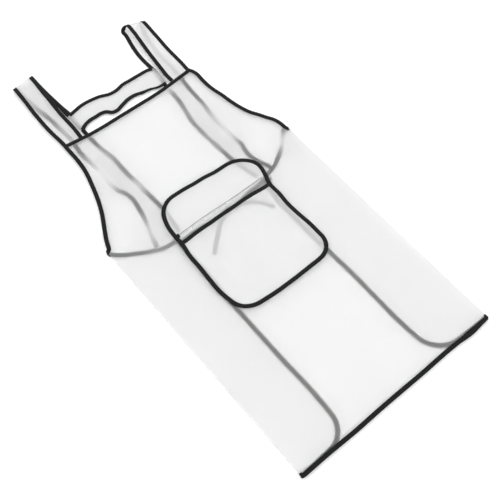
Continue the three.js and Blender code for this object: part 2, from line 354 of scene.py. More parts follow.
# %% Ripples, easing and lie
def ripple(x, y, size, seed):
    """Smooth made-up unevenness, mostly within -1 to 1, with waves about size mm long."""
    rng = np.random.default_rng(seed)
    total = np.zeros(np.broadcast(x, y).shape)
    for _ in range(7):
        turn, phase = rng.uniform(0, 2 * math.pi, 2)
        wave = size * rng.uniform(0.7, 1.7)
        total += np.sin(2 * math.pi * (x * math.cos(turn) + y * math.sin(turn)) / wave + phase)
    return total / 4


def ease(t):
    """0 to 1 with a smooth start and end."""
    t = np.clip(t, 0, 1)
    return t * t * (3 - 2 * t)


def lay(stations, place):
    """An offset in mm at a place, read between (place, offset) stations."""
    places, offsets = zip(*sorted(stations))
    return np.interp(place, places, offsets)


def unit(vectors):
    return vectors / np.linalg.norm(vectors, axis=1)[:, None]


print("halfway, ease gives", float(ease(0.5)))

# %% Outline of the front
SIDE_SWAY = {-1: [(-500, 2.5), (45, -5)], 1: [(-500, -1.5), (45, -5)]}
ARMHOLE = {  # the armhole edge as it lies, from the side fold up to the bib's corner
    -1: [(-225, 45), (-220, 58), (-216, 68), (-205, 90), (-190, 119), (-178, 149),
         (-167.5, 186), (-158.5, 226), (-156, 262), (-157, 295)],
    1: [(216, 47), (215, 64), (211, 80), (203, 94), (194, 111), (186, 125), (178, 148),
        (172, 173), (168, 200), (163, 224), (161, 254), (162, 277), (157.5, 295)],
}
BIB_SAG = 8  # how far the bib's top sags between its straps


def armhole_line(side):
    """Armhole edge of the front, from the side fold up to the bib's corner, in x and y."""
    return smooth_line(ARMHOLE[side], 4.0)


def bib_top_y(x):
    sag = BIB_SAG * (1 - (x / BIB_X)**2)
    return BIB_Y - 5 - x / 110 - sag + 0.8 * ripple(x, 0 * x, 110, 3)


def front_edge_x(side, y):
    """Side edge of the front at height y."""
    line = armhole_line(side)
    above = np.interp(y, line[:, 1], line[:, 0])
    below = side * SIDE_X + lay(SIDE_SWAY[side], y)
    return np.where(y > ARMHOLE_Y, above, below)


print("armhole line ends at", armhole_line(1)[0].round(1), "and", armhole_line(1)[-1].round(1))

# %% Outline of the wings
WING_CORNER = 52  # radius at the foot of the back opening
WING_TOP = {  # top edge of each wing, as (distance from the middle, height)
    -1: [(100, -17), (138, -13), (164, 0), (181, 9), (205, 24), (225, 42)],
    1: [(100, -15), (130, -9), (148, -3), (170, 10), (196, 30), (215, 50), (225, 52)],
}
WING_EDGE_SWAY = {  # how far the edge at the back opening lies off its straight line
    -1: [(-500, -3), (-450, -8), (-200, -9), (-30, -7)],
    1: [(-500, -2), (-450, -6), (-380, -8), (-300, -8.5), (-212, -10.5), (-185, -13),
        (-77, -13), (-42, -8), (-20, -3)],
}


def wing_top_y(side, x):
    """Top edge of a wing, for the distance x from the middle."""
    return lay(WING_TOP[side], x)


def wing_foot_y(x):
    run = np.clip(WING_X + WING_CORNER - x, 0, WING_CORNER)
    return HEM_Y + WING_CORNER - np.sqrt(WING_CORNER**2 - run**2)


print("wings are", round(FOLD_X - WING_X), "mm wide")

# %% How high the front film stands
BELLY = 1.2  # how far the middle of the front stands up


def rise(x, y):
    """How far the front film bellies up off its flat level, in mm: nothing at its edges."""
    inside = (ease((FOLD_X - np.abs(x)) / 90) * ease((y - HEM_Y) / 110)
              * ease((BIB_Y - y) / 90))
    bib_side = np.interp(y, [ARMHOLE_Y, ARMHOLE_Y + 90, BIB_Y], [212, 172, 154])
    inside = inside * np.where(y > ARMHOLE_Y, ease((bib_side - np.abs(x)) / 60), 1)
    folds = 0.6 * ripple(x, y * 0.35, 120, 11) + 0.2 * ripple(x, y, 45, 12)
    return (BELLY + folds) * inside


def front_z(x, y):
    return FRONT_Z + rise(x, y)


print("the front bellies up by", round(float(rise(np.array(0.0), np.array(-150.0))), 2), "mm")

# %% [markdown]
# ## Film panels
# A panel of film is one surface with almost no thickness. Each is built as a grid of points
# that follows the pattern's edges, and a Solidify modifier gives it its thickness. A cloth
# simulation would also drape it, but this film lies flat, and a grid keeps its outline exact.
# The skirt and both wings are one sheet, because the real film runs round the side folds
# without a seam.


# %% Mesh helpers
def make_object(name, vertices, faces, finish):
    """A smooth-shaded mesh object from points in mm."""
    mesh = bpy.data.meshes.new(name)
    mesh.from_pydata((np.asarray(vertices) * MM).tolist(), [], [list(map(int, f)) for f in faces])
    mesh.materials.append(finish)
    mesh.shade_smooth()
    made = bpy.data.objects.new(name, mesh)
    scene.collection.objects.link(made)
    return made


def grid_faces(rows, columns, start=0):
    corner = start + np.arange(rows - 1)[:, None] * columns + np.arange(columns - 1)
    faces = np.stack([corner, corner + 1, corner + columns + 1, corner + columns], -1)
    return faces.reshape(-1, 4)


def edit_mesh(made, change):
    """Change a piece's mesh through bmesh."""
    work = bmesh.new()
    work.from_mesh(made.data)
    change(work)
    work.to_mesh(made.data)
    work.free()


def weld(work):
    bmesh.ops.remove_doubles(work, verts=work.verts, dist=0.05 * MM)


def face_outwards(work):
    bmesh.ops.recalc_face_normals(work, faces=work.faces)


def store(made, attribute, values):
    """Store a number at each point of a piece's mesh."""
    made.data.attributes.new(attribute, "FLOAT", "POINT").data.foreach_set(
        "value", np.asarray(values, np.float32))


print("mesh helpers ready")

# %% Film helpers
FILM_THICKNESS = 0.3


def film_piece(name, grids, pick=None, others=(close_finish,)):
    """Film from grids of points, joined where they meet. pick numbers each face's finish."""
    vertices, faces, start = [], [], 0
    for grid in grids:
        rows, columns = grid.shape[:2]
        vertices.append(grid.reshape(-1, 3))
        faces.append(grid_faces(rows, columns, start))
        start += rows * columns
    film = make_object(name, np.concatenate(vertices), np.concatenate(faces), film_finish)
    if len(grids) > 1:
        edit_mesh(film, weld)
    if pick:
        for finish in others:
            film.data.materials.append(finish)
        for face in film.data.polygons:
            face.material_index = int(pick(*(face.center / MM)))
    solid = film.modifiers.new("thickness", "SOLIDIFY")
    solid.thickness = FILM_THICKNESS * MM
    solid.offset = 0
    return film


def set_haze(film, patches, lowest, everywhere=0.0):
    """Haze at each point above a level, from round patches of (x, y, size, strength)."""
    x, y, z = np.array([v.co[:] for v in film.data.vertices]).T / MM
    haze = everywhere + sum(strength * np.exp(-(np.hypot(x - at_x, y - at_y) / size)**2)
                            for at_x, at_y, size, strength in patches)
    store(film, "haze", np.clip(haze, 0, 1) * (z > lowest))


def film_area(grids):
    """Area of grids of points, in square metres."""
    total = 0.0
    for g in grids:
        a, b = g[1:, :-1] - g[:-1, :-1], g[:-1, 1:] - g[:-1, :-1]
        total += float(np.linalg.norm(np.cross(a, b), axis=-1).sum()) * MM * MM
    return total


print("film pieces are", FILM_THICKNESS, "mm thick")


# %% Grids of the wings and the front
def wing_columns(side, share):
    """Points of one wing: rows up the side fold, columns from the fold to the back opening."""
    b = share[:, None]
    up = HEM_Y + b * (ARMHOLE_Y - HEM_Y)
    fold_x = np.abs(front_edge_x(side, up))
    turn = np.linspace(0, math.pi, 8)[None, 1:]
    curl_x = fold_x + FOLD_RADIUS * np.sin(turn)
    curl_y = up + 0 * curl_x
    curl_z = BACK_Z + FOLD_RADIUS + FOLD_RADIUS * np.cos(turn) + 0 * curl_x
    inwards = np.linspace(0, 1, 18)[None, 1:]
    pattern_x = SIDE_X * (1 - inwards) + WING_X * inwards
    y = wing_foot_y(pattern_x) + b * (wing_top_y(side, pattern_x) - wing_foot_y(pattern_x))
    edge_shift = side * lay(WING_EDGE_SWAY[side], y)
    x = fold_x * (1 - inwards) + (WING_X + edge_shift) * inwards
    z = BACK_Z + 0.12 * ripple(x, y, 70, 21)
    x, y, z = np.hstack([curl_x, x]), np.hstack([curl_y, y]), np.hstack([curl_z, z])
    return np.stack([side * x, y, z], -1)


def front_rows(low, high, rows, columns=61):
    """Grid of the front between two heights. The top row follows the bib's sagging edge."""
    a = np.linspace(0, 1, columns)[None, :]
    y = np.linspace(low, high, rows)[:, None]
    left, right = front_edge_x(-1, y), front_edge_x(1, y)
    x = left + a * (right - left)
    y = y + ease((y - low) / (high - low)) * (high >= BIB_Y) * (bib_top_y(x) - BIB_Y)
    return np.stack([x, y, front_z(x, y)], -1)


share = np.linspace(0, 1, 76)
skirt = front_rows(HEM_Y, ARMHOLE_Y, len(share))
skirt = np.concatenate([wing_columns(-1, share)[:, ::-1], skirt, wing_columns(1, share)], axis=1)
bib = front_rows(ARMHOLE_Y, BIB_Y, 36)
print("skirt grid", skirt.shape[:2], "and bib grid", bib.shape[:2])

# %% Bib, skirt and wings in one sheet
BODY_HAZE = [
    (-139, 198, 26, 0.9), (-139, 28, 30, 0.7), (-98, 126, 20, 0.6), (116, 125, 34, 0.72),
    (190, 25, 22, 0.8), (-140, 164, 20, 0.6), (-142, 232, 20, 0.28), (-104, 232, 22, 0.25),
    (91, 206, 24, 0.15), (117, 104, 18, 0.25), (120, 172, 30, 0.35), (97, 284, 18, 0.5)]
body = film_piece("body_film", [skirt, bib], lambda x, y, z: z < BACK_Z + 0.8)
set_haze(body, BODY_HAZE, FRONT_Z - 2)
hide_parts("front_sheet", "left_wing", "right_wing")
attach(body, "apron")
print("body film:", len(body.data.vertices), "points,", round(film_area([skirt, bib]), 3), "m2")

# %% [markdown]
# ## Shoulder straps
# A strap goes up the front, over the shoulder and down the back. Laid flat, it turns over at the
# top in a soft round loop, and the right loop stands more open than the left. A curve with a
# flat bevel would give a strip of one even width. Real film looks narrower wherever it tips on
# to its edge, so each strap is drawn by its two edges, and the film spans between them.

# %% How the straps lie
STRAP_LIE = {  # each edge: up the front, the turn's top, then down the back, in x and y
    "left": {
        "outer": ([(-156, 294), (-157, 316), (-159.5, 345), (-160.5, 400), (-158.5, 443),
                   (-157.5, 474)],
                  (-156, 488),
                  [(-154, 474), (-151, 443), (-148, 413), (-144, 390), (-141, 368), (-140, 344),
                   (-137, 306), (-141, 262), (-139, 235), (-136, 205), (-137, 169), (-134, 146),
                   (-125, 126), (-123, 112), (-126, 91), (-129, 71), (-136, 45), (-143, 22),
                   (-150, -2)]),
        "inner": ([(-120, 295), (-118, 325), (-118.5, 373), (-117.5, 415), (-116.5, 450),
                   (-115, 476)],
                  (-113.5, 493),
                  [(-112, 478), (-111, 444), (-109.5, 415), (-107, 386), (-104, 360),
                   (-104.5, 331), (-105, 296), (-104, 269), (-101, 238), (-97, 216), (-97, 191),
                   (-96, 159), (-94, 128), (-93, 97), (-91, 63), (-93, 30), (-97, -3)]),
    },
    "right": {
        "outer": ([(154, 294), (155.5, 320), (155.5, 345), (155, 378), (156.5, 415), (158, 450)],
                  (157, 466),
                  [(152, 455), (144, 434), (139, 412), (135, 387), (134, 362), (134, 342),
                   (133, 303), (129, 266), (127, 237), (126, 210), (122, 180), (119, 143),
                   (121, 112), (122, 90), (123.5, 77), (119, 62), (118, 45), (124, 21),
                   (133, -2)]),
        "inner": ([(111, 295), (110.5, 312), (112.5, 335), (115, 365), (118, 396), (122, 430),
                   (125, 460)],
                  (120, 479),
                  [(111, 466), (106, 440), (101.5, 415), (98.5, 388), (98.5, 362), (99.5, 342),
                   (98, 322), (95, 303), (93, 286), (93, 261), (90, 233), (85, 210), (81, 190),
                   (80, 159), (81, 128), (82, 96), (84, 66), (90, 30), (97, -3)]),
    },
}
SIDES = {"left": -1, "right": 1}
print("strap edges drawn for", ", ".join(SIDES))

# %% Edges of each strap
UP_POINTS, DOWN_POINTS = 48, 126


def strap_edge(name, edge):
    """One edge of a strap: an even run up the front and over, then an even run down the back."""
    up, top, down = STRAP_LIE[name][edge]
    top_z = span(f"{name}_strap_loop", 2)[1] - 0.3
    radius = (top_z - BACK_Z) / 2
    turn_y = top[1] - radius
    front = [(x, y, FRONT_Z + (top_z - FRONT_Z) * float(ease((y - BIB_Y - 20) / 130)))
             for x, y in up if y < turn_y - 2]
    back = [(x, y, BACK_Z) for x, y in down if y < turn_y - 2]
    front_gap, back_gap = front[-1][0] - top[0], top[0] - back[0][0]
    crown = [(top[0] + front_gap * max(math.cos(t), 0) + back_gap * min(math.cos(t), 0),
              turn_y + radius * math.sin(t), BACK_Z + radius + radius * math.cos(t))
             for t in np.linspace(0.1, math.pi - 0.1, 9)]
    line = smooth_line(front + crown + back, 1.0)
    apex = int(np.argmax(line[:, 1]))
    return np.concatenate([spread_points(line[:apex + 1], UP_POINTS),
                           spread_points(line[apex:], DOWN_POINTS)[1:]])


def strap_face(line, across):
    """Unit vectors out of a strap's face, at each point of a line along it."""
    along = unit(np.gradient(line, axis=0))
    across = unit(across - along * (across * along).sum(axis=1)[:, None])
    return np.cross(across, along)


straps = {}
for name, side in SIDES.items():
    outer, inner = strap_edge(name, "outer"), strap_edge(name, "inner")
    outward = strap_face((outer + inner) / 2, side * (outer - inner))
    straps[name] = (side, outer, inner, outward)
    print(name, "strap is", round(float(run_lengths((outer + inner) / 2)[-1])), "mm long")

# %% Strap film
JOIN_LOW, JOIN_HIGH = 0.367, 0.383  # each loop starts to fold over between these, in metres
STRAP_HAZE = {  # one patch, then the haze of all the rest
    "left": ((-146, 374, 35, -0.35), 0.4), "right": ((150, 360, 70, 0.25), 0.5)}

for name, (side, outer, inner, outward) in straps.items():
    t = np.linspace(0, 1, 9)[:, None, None]
    grid = inner[None] * (1 - t) + outer[None] * t
    along = np.arange(len(outer)) * 4.0
    crowned = 0.35 * np.sin(math.pi * t) * outward[None]
    lift = crowned * (1 + 0.5 * ripple(along, 0, 60, 5))[:, None]
    film = film_piece(f"{name}_strap_film", [grid + lift * (grid[..., 2:] > BACK_Z + 0.5)],
                      lambda x, y, z: z < BACK_Z + 3, (strap_finish,))
    patch, everywhere = STRAP_HAZE[name]
    set_haze(film, [patch], BACK_Z + 3, everywhere)
    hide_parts(f"{name}_front_strap", f"{name}_strap_loop", f"{name}_rear_strap")
    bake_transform(film)

# %% [markdown]
# ## Back band
# The band joins the rear straps across the shoulders. It is laid on top of them and sewn at both
# ends, and its free film waves between the seams. Its two waving edges are drawn as lines, and
# the film spans them, because the same lines then carry the tapes.

# %% Back band film
BAND_LOW_Y, BAND_HIGH_Y = span("back_band", 1)
BAND_END_X = span("back_band", 0)[1]
BAND_LOWER = [(-106, 311), (-96, 317), (-81, 321), (-66, 321), (-52, 321), (-43, 318),
              (-33, 308), (-23, 306), (-8, 310), (11, 315), (27, 315), (44, 311), (62, 307),
              (78, 301), (98, 300)]
BAND_UPPER = [(-106, 358), (-90, 361), (-77, 363), (-52, 363), (-30, 359), (-11, 351),
              (8, 350), (24, 354), (43, 354), (69, 353), (87, 352), (98, 349)]
BAND_HAZE = [(-60, 335, 60, 0.25), (-106, 335, 12, 0.3), (99, 328, 12, 0.3)]


def band_edge(points):
    """An edge of the band as it waves, with even points."""
    line = smooth_line(points, 3.0)
    return np.column_stack([line, BAND_Z + 0.2 * ripple(line[:, 0], line[:, 1], 60, 41)])


band_low, band_high = band_edge(BAND_LOWER), band_edge(BAND_UPPER)
t = np.linspace(0, 1, 9)[:, None, None]
band_grid = spread_points(band_low, 61)[None] * (1 - t) + spread_points(band_high, 61)[None] * t
band_grid[:, 0, 0] -= 4.5  # the ends of the film lap over the strap tapes
band_grid[:, -1, 0] += 4.5
band = film_piece("back_band_film", [band_grid])
set_haze(band, BAND_HAZE, 0, 0.3)
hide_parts("back_band")
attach(band, "apron")
print("band film is", round(2 * BAND_END_X), "mm wide")

# %% [markdown]
# ## Pocket and flap
# The pocket is a pouch: its film is wider than the place it is sewn on, so it stands off the
# skirt. The flap is a second piece. It is sewn a finger's width above the mouth, and here it is
# turned up. Short puckers show where the strip under its seam is gathered. Both could be cut
# from flat planes and bent, but grids that narrow with the pattern keep their round corners
# true. `settle` then moves the pattern to where the pieces really lie.

# %% Where the pocket and flap lie
LIE = np.array([  # how far places round them lie off the pattern: x, y, shift in x and y
    (-112, -10, 0, 0), (-110, 20, 1, 0), (-95, 45, -2.5, 3.5), (-75, 57, -2, 5.5),
    (-45, 58, 0, 3), (0, 58, 0, 0.3), (36, 58, 0, -4), (67, 57, 0, -4.6), (84, 51, -1, -2),
    (99, 38, 0, 0), (109, 21, 2.8, 1), (112, 4, 2.9, 0), (112, -13, -1.7, 0),
    (110, -24, -8, -1), (108, -50, -6, 0), (108, -93, -9, 0), (108, -126, -8, 0),
    (108, -152, -5, 0), (108, -176, -6, 0), (102, -203, -4.5, 1), (88, -217, -0.5, 2),
    (68, -221, 0, -1), (0, -221, 0, -1.5), (-40, -221, 0, -0.5), (-85, -218, 0, 2.5),
    (-101, -205, -2, -0.5), (-107, -192, -6, -1.5), (-108, -177, -9.5, 0),
    (-108, -143, -12, 0), (-108, -102, -9, 0), (-108, -64, -9, 0), (-108, -34, -5, 3)])
WHOLE_SHIFT = (1.0, 1.4)
NEAR, FAR = 20.0, 40.0  # how far each place pulls on its surroundings


def settle(points):
    """Pattern points of the pocket and flap moved to where they lie."""
    points = np.asarray(points, float)
    gap = np.linalg.norm(points[..., None, :2] - LIE[:, :2], axis=-1)
    weight = np.exp(-(gap / NEAR)**2) + 1e-4 / (1 + (gap / FAR)**4)
    shift = (weight[..., None] * LIE[:, 2:]).sum(axis=-2) / weight.sum(axis=-1)[..., None]
    moved = points.copy()
    moved[..., :2] += shift + WHOLE_SHIFT
    return moved


def trim_z(x, y):
    """Level of what is sewn on the front: it follows the front's belly."""
    return TRIM_Z + rise(x, y)


print("the pocket's lower corner moves to", settle([(POCKET_X, POCKET_FOOT_Y)])[0].round(1))

# %% Pocket film
POCKET_RISE = (middle("pocket_mouth_binding", 2) - TRIM_Z) * 2
POCKET_CORNER = 38


def pocket_half(y):
    """Half the pocket's width at height y, with round corners at its foot."""
    run = np.clip(POCKET_FOOT_Y + POCKET_CORNER - y, 0, POCKET_CORNER)
    return POCKET_X - POCKET_CORNER + np.sqrt(POCKET_CORNER**2 - run**2)


def pouch(x, y):
    """How far the pocket stands off the front."""
    side_room = pocket_half(y) - np.abs(x)
    high = ease((side_room - 5) / 40) * ease((y - POCKET_FOOT_Y - 5) / 40)
    return high * (POCKET_RISE * 0.9 + 0.3 * ripple(x, y, 60, 51))


a = np.linspace(-1, 1, 45)[None, :]
y = POCKET_FOOT_Y + (MOUTH_Y - POCKET_FOOT_Y) * np.linspace(0, 1, 38)[:, None]**1.5 + 0 * a
x = a * pocket_half(y)
pocket_grid = settle(np.stack([x, y, trim_z(x, y) + pouch(x, y)], -1))
pocket = film_piece("pocket_film", [pocket_grid], lambda x, y, z: 1, (pouch_finish,))
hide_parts("pocket_panel")
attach(pocket, "apron")
print("pocket stands off by", round(POCKET_RISE, 1), "mm")

# %% Flap film
FLAP_CORNER = 55
FLAP_Y = np.concatenate([np.linspace(FLAP_LOW_Y, FLAP_FOLD_Y, 9)[:-1],
                         FLAP_FOLD_Y + (FLAP_TOP_Y - FLAP_FOLD_Y) * np.linspace(0, 1, 24)**0.7])
FLAP_BEND = [(0, (FLAP_FOLD_Y - 3) * MM, 0), (0, (FLAP_FOLD_Y + 5) * MM, 0)]


def flap_half(y):
    """Half the flap's width at height y, with round corners at its top."""
    run = np.clip(y - (FLAP_TOP_Y - FLAP_CORNER), 0, FLAP_CORNER)
    wide = FLAP_X - FLAP_CORNER + np.sqrt(FLAP_CORNER**2 - run**2)
    return np.minimum(wide, np.interp(y, [FLAP_LOW_Y, FLAP_FOLD_Y], [POCKET_X, FLAP_X]))


def flap_z(x, y):
    """The root strip lies on the front and puckers under the seam. The flap is a layer up."""
    up = ease((y - FLAP_FOLD_Y + 6) / 9)
    pucker = np.sin(x / 3.4 + 1.7 * np.sin(x / 23)) * ease((FLAP_FOLD_Y - y) / 6)
    return trim_z(x, y) - 0.8 * (1 - up) + 0.3 * pucker + 0.25 * ripple(x, y, 80, 61) * up


a = np.linspace(-1, 1, 97)[None, :]
y = FLAP_Y[:, None] + 0 * a
x = a * flap_half(y)
flap_grid = settle(np.stack([x, y, flap_z(x, y)], -1))
flap = film_piece("flap_film", [flap_grid], lambda x, y, z: 1 + (y < FLAP_FOLD_Y - 2),
                  (pouch_finish, close_finish))
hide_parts("pocket_flap", "flap_root")
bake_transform(flap)
print("flap film has", len(flap.data.vertices), "points")


# %% Outline round flap and pocket
def arc(cx, cy, radius, start, stop, count=14):
    turn = np.radians(np.linspace(start, stop, count))
    return [(cx + radius * math.cos(t), cy + radius * math.sin(t)) for t in turn]


def straight(start, stop, count=6):
    """Points between two places, both ends left out."""
    t = np.linspace(0, 1, count)[1:-1, None]
    return [tuple(p) for p in np.array(start) * (1 - t) + np.array(stop) * t]


FLAP_FOOT = (FLAP_X - 0.5, FLAP_FOLD_Y)  # right end of the flap's fold


def flap_outline():
    """Edge of the flap, from the right end of its fold over the top to the left end."""
    cx, cy = FLAP_X - FLAP_CORNER, FLAP_TOP_Y - FLAP_CORNER
    return [FLAP_FOOT, *arc(cx, cy, FLAP_CORNER, 0, 90),
            *straight((cx, FLAP_TOP_Y), (-cx, FLAP_TOP_Y)),
            *arc(-cx, cy, FLAP_CORNER, 90, 180), (-FLAP_FOOT[0], FLAP_FOOT[1])]


def pocket_outline():
    """Edge of the pocket, from the left end of its mouth round the foot to the right end."""
    cx, cy = POCKET_X - POCKET_CORNER, POCKET_FOOT_Y + POCKET_CORNER
    return [(-POCKET_X, MOUTH_Y), *straight((-POCKET_X, MOUTH_Y), (-POCKET_X, cy)),
            *arc(-cx, cy, POCKET_CORNER, 180, 270),
            *straight((-cx, POCKET_FOOT_Y), (cx, POCKET_FOOT_Y)),
            *arc(cx, cy, POCKET_CORNER, 270, 360),
            *straight((POCKET_X, cy), (POCKET_X, MOUTH_Y)), (POCKET_X, MOUTH_Y)]


ring = smooth_line(settle(np.array(flap_outline() + pocket_outline() + [FLAP_FOOT])), 4.0)
print("the tape round flap and pocket is", round(run_lengths(ring)[-1]), "mm long")

# %% [markdown]
# ## Edge tape
# The binding is bias tape folded over the film's cut edge: a leg above, a leg below and a fold
# round the outside. A curve with a bevel could carry it, but would twist at tight turns, so a
# thin U is swept along the edge with its own frame at each step. The maker steers tape by hand,
# so its path varies a little. Long tapes run on from edge to edge, as the real ones do: one
# goes from the wing round the side fold, up the armhole, over the shoulder and down the back.

# %% Tape section and frames
TAPE_HALF = (span("front_hem_binding", 1)[1] - span("front_hem_binding", 1)[0]) / 2
TAPE_SECTION = np.array([  # out from the film's edge, and up, in mm
    (-1.0, 0.62), (-0.8, 0.86), (0.1, 0.93), (0.72, 0.86), (0.93, 0.55), (1.0, 0.0),
    (0.93, -0.55), (0.72, -0.86), (0.1, -0.93), (-0.8, -0.86), (-1.0, -0.62),
    (-1.0, -0.22), (0.7, -0.36), (0.7, 0.36), (-1.0, 0.22),
]) * (TAPE_HALF, 1.0)


def turn_frames(line, faces_out, web):
    """Out-of-edge and up vectors at each point, for tape on film facing faces_out.

    web is 1 where the film lies to the left of the line, and -1 where it lies to the right.
    """
    along = unit(np.gradient(line, axis=0))
    out = unit(np.cross(along, faces_out) * web)
    return out, np.cross(out, along) * web


def facing_up(line):
    return np.tile([0.0, 0.0, 1.0], (len(line), 1))


print("tape is", round(2 * TAPE_HALF, 1), "mm wide")

# %% Sweep a section along a line
LOWEST_TAPE, LOWEST_THREAD = 0.05, 0.02  # tape lies flat on the table, never in it


def sweep(name, line, out, up, section, finish, closed=False, width=1.0):
    """A section carried along a line, with how far along and around stored on its points."""
    count, ring_size = len(line), len(section)
    width = (width * np.ones(count))[:, None, None]
    points = (line[:, None] + out[:, None] * section[None, :, :1] * width
              + up[:, None] * section[None, :, 1:]).reshape(-1, 3)
    points[:, 2] = np.maximum(points[:, 2], LOWEST_TAPE)
    i = np.arange(count if closed else count - 1)[:, None]
    j = np.arange(ring_size)[None, :]
    k, l = (i + 1) % count, (j + 1) % ring_size
    faces = np.stack([i * ring_size + j, i * ring_size + l, k * ring_size + l,
                      k * ring_size + j], -1).reshape(-1, 4).tolist()
    if not closed:
        last = (count - 1) * ring_size
        faces += [list(range(ring_size))[::-1], list(range(last, last + ring_size))]
    made = make_object(name, points, faces, finish)
    edit_mesh(made, face_outwards)
    store(made, "along", np.repeat(run_lengths(line), ring_size))
    store(made, "around", np.tile(run_lengths(section), count))
    return made


def fasten(piece, joint):
    """Let a piece ride on the apron, or, if it crosses a joint, bake its place into its mesh and
    leave it on no body.
    """
    if joint:
        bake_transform(piece)
    else:
        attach(piece, "apron")


print("sweeps stay above z", LOWEST_TAPE, "mm")

# %% Bind an edge
tape_runs = []  # name, line, out, up and joint of every tape, for the stitches


def bind(name, line, faces_out, web, replaced, seed, joint=None, closed=False, width=1.0):
    """Tape folded over an edge. joint names the bodies and the stretch it bends across."""
    out, up = turn_frames(line, faces_out, web)
    if not closed:
        steer = 0.35 * ripple(np.arange(len(line)) * 4.0, 0, 75, seed)
        line = line + out * steer[:, None]
    tape = sweep(name, line, out, up, TAPE_SECTION, tape_finish, closed, width)
    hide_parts(*replaced)
    fasten(tape, joint)
    tape_runs.append((name, line, out, up, joint))
    return tape


print("ready to bind", len([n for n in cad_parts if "binding" in n]), "bound edges")

# %% Tapes on the bib's top and the back band
x = np.linspace(front_edge_x(-1, BIB_Y - 2) + TAPE_HALF, front_edge_x(1, BIB_Y - 2) - TAPE_HALF,
                78)
bib_line = np.column_stack([x, bib_top_y(x), front_z(x, bib_top_y(x))])
bind("bib_top_tape", bib_line, facing_up(bib_line), -1, ["bib_top_binding"], 71)
bind("band_upper_tape", band_high, facing_up(band_high), -1, ["band_upper_binding"], 72)
tipped = 1 - 0.42 * np.exp(-((band_low[:, 0] - 72) / 24)**2)  # here it stands partly on edge
bind("band_lower_tape", band_low, facing_up(band_low), 1, ["band_lower_binding"], 73,
     width=tipped)
print("bib and band tapes made")


# %% Lines of the hem tape
def wing_edge_line(side):
    """Edge of one wing and its outward face, from the wing's top corner to the side fold."""
    corner = arc(WING_X + WING_CORNER, HEM_Y + WING_CORNER, WING_CORNER, 180, 270, 12)
    plan = [(WING_X, wing_top_y(side, WING_X) + 2), (WING_X, -150), (WING_X, -300), *corner,
            ((WING_X + WING_CORNER + SIDE_X) / 2, HEM_Y - 1.5), (SIDE_X - 2, HEM_Y - 2.5)]
    line = smooth_line([(x, y, BACK_Z) for x, y in plan], 4.0)
    near_edge = 1 - ease((line[:, 0] - WING_X) / 110)
    line[:, 0] += side * lay(WING_EDGE_SWAY[side], line[:, 1]) * near_edge
    line[:, 0] *= side
    return line, -facing_up(line)


def round_fold(side, y, shift):
    """Points and faces round a side fold, from the back film to the front film."""
    turn = np.linspace(math.pi, 0, 9)[1:-1]
    points = np.stack([side * SIDE_X + shift + side * FOLD_RADIUS * np.sin(turn), y + 0 * turn,
                       BACK_Z + FOLD_RADIUS + FOLD_RADIUS * np.cos(turn)], -1)
    faces = np.stack([side * np.sin(turn), 0 * turn, np.cos(turn)], -1)
    return points, faces


print("each side fold turns on a radius of", round(FOLD_RADIUS, 2), "mm")

# %% Hem tape, round both side folds and up the back opening
x = np.linspace(-SIDE_X + 4, SIDE_X - 4, 110)
droop = 3.8 + 2.5 * np.exp(-((x - 178) / 22)**2)  # the hem hangs lower near its right end
y = HEM_Y - droop + 0.6 * ripple(x, 0, 150, 81)
front_hem = np.column_stack([x, y, front_z(x, y)])
left_line, left_faces = wing_edge_line(-1)
right_line, right_faces = wing_edge_line(1)
left_fold, left_fold_faces = round_fold(-1, HEM_Y - 1, 2.5)
right_fold, right_fold_faces = round_fold(1, HEM_Y - 1, -1.5)
hem_line = np.concatenate([left_line, left_fold, front_hem, right_fold[::-1], right_line[::-1]])
hem_faces = np.concatenate([left_faces, left_fold_faces, facing_up(front_hem),
                            right_fold_faces[::-1], right_faces[::-1]])
bind("hem_tape", hem_line, hem_faces, 1,
     ["front_hem_binding", "left_wing_edge_binding", "right_wing_edge_binding"], 74)
print("hem tape has", len(hem_line), "stations")


# %% Lines up the armholes and over the shoulders
def armhole_run(side, outer, outward):
    """The outer tape's line and faces: wing top, side fold, armhole, then the strap."""
    x = np.linspace(WING_X + 4, SIDE_X - 1, 30)
    y = wing_top_y(side, x)
    width, fold_sway = SIDE_X - WING_X, lay(SIDE_SWAY[side], ARMHOLE_Y)
    sway = side * (lay(WING_EDGE_SWAY[side], y) * (SIDE_X - x) / width
                   + fold_sway * (x - WING_X) / width)
    wing_top = np.column_stack([side * (x + sway), y, BACK_Z + 0 * x])
    fold, fold_faces = round_fold(side, ARMHOLE_Y, fold_sway)
    armhole = even_points(armhole_line(side), 4.0)
    armhole = np.column_stack([armhole, front_z(armhole[:, 0], armhole[:, 1])])[1:-2]
    return (np.concatenate([wing_top, fold, armhole, outer[1:]]),
            np.concatenate([-facing_up(wing_top), fold_faces, facing_up(armhole), outward[1:]]))


print("the left outer tape has", len(armhole_run(-1, *straps["left"][1::2])[0]), "stations")

# %% Armhole tapes and inner strap tapes
OUTER_EDGES = ("armhole", "wing_top", "front_strap_outer", "strap_loop_outer",
               "rear_strap_outer")
INNER_EDGES = ("front_strap_inner", "strap_loop_inner", "rear_strap_inner")


def bound_edges(name, edges):
    return [f"{name}_{edge}_binding" for edge in edges]


for name, (side, outer, inner, outward) in straps.items():
    joint = ("apron", f"{name}_loop", (0, JOIN_LOW, 0), (0, JOIN_HIGH, 0))
    run, faces = armhole_run(side, outer, outward)
    bind(f"{name}_armhole_tape", run, faces, side, bound_edges(name, OUTER_EDGES), 75 + side,
         joint)
    # just above the band, the left inner tape lies wide and close to the strap's front
    wide = (inner[:, 2] < BACK_Z + 3) * np.exp(-((inner[:, 1] - 366) / 20)**2) * (side < 0)
    bind(f"{name}_inner_strap_tape", inner - np.outer(wide, (1.5, 0, 0)), outward, -side,
         bound_edges(name, INNER_EDGES), 85 + side, joint, width=1 + 0.45 * wide)
    print(name, "armhole tape has", len(run), "stations")

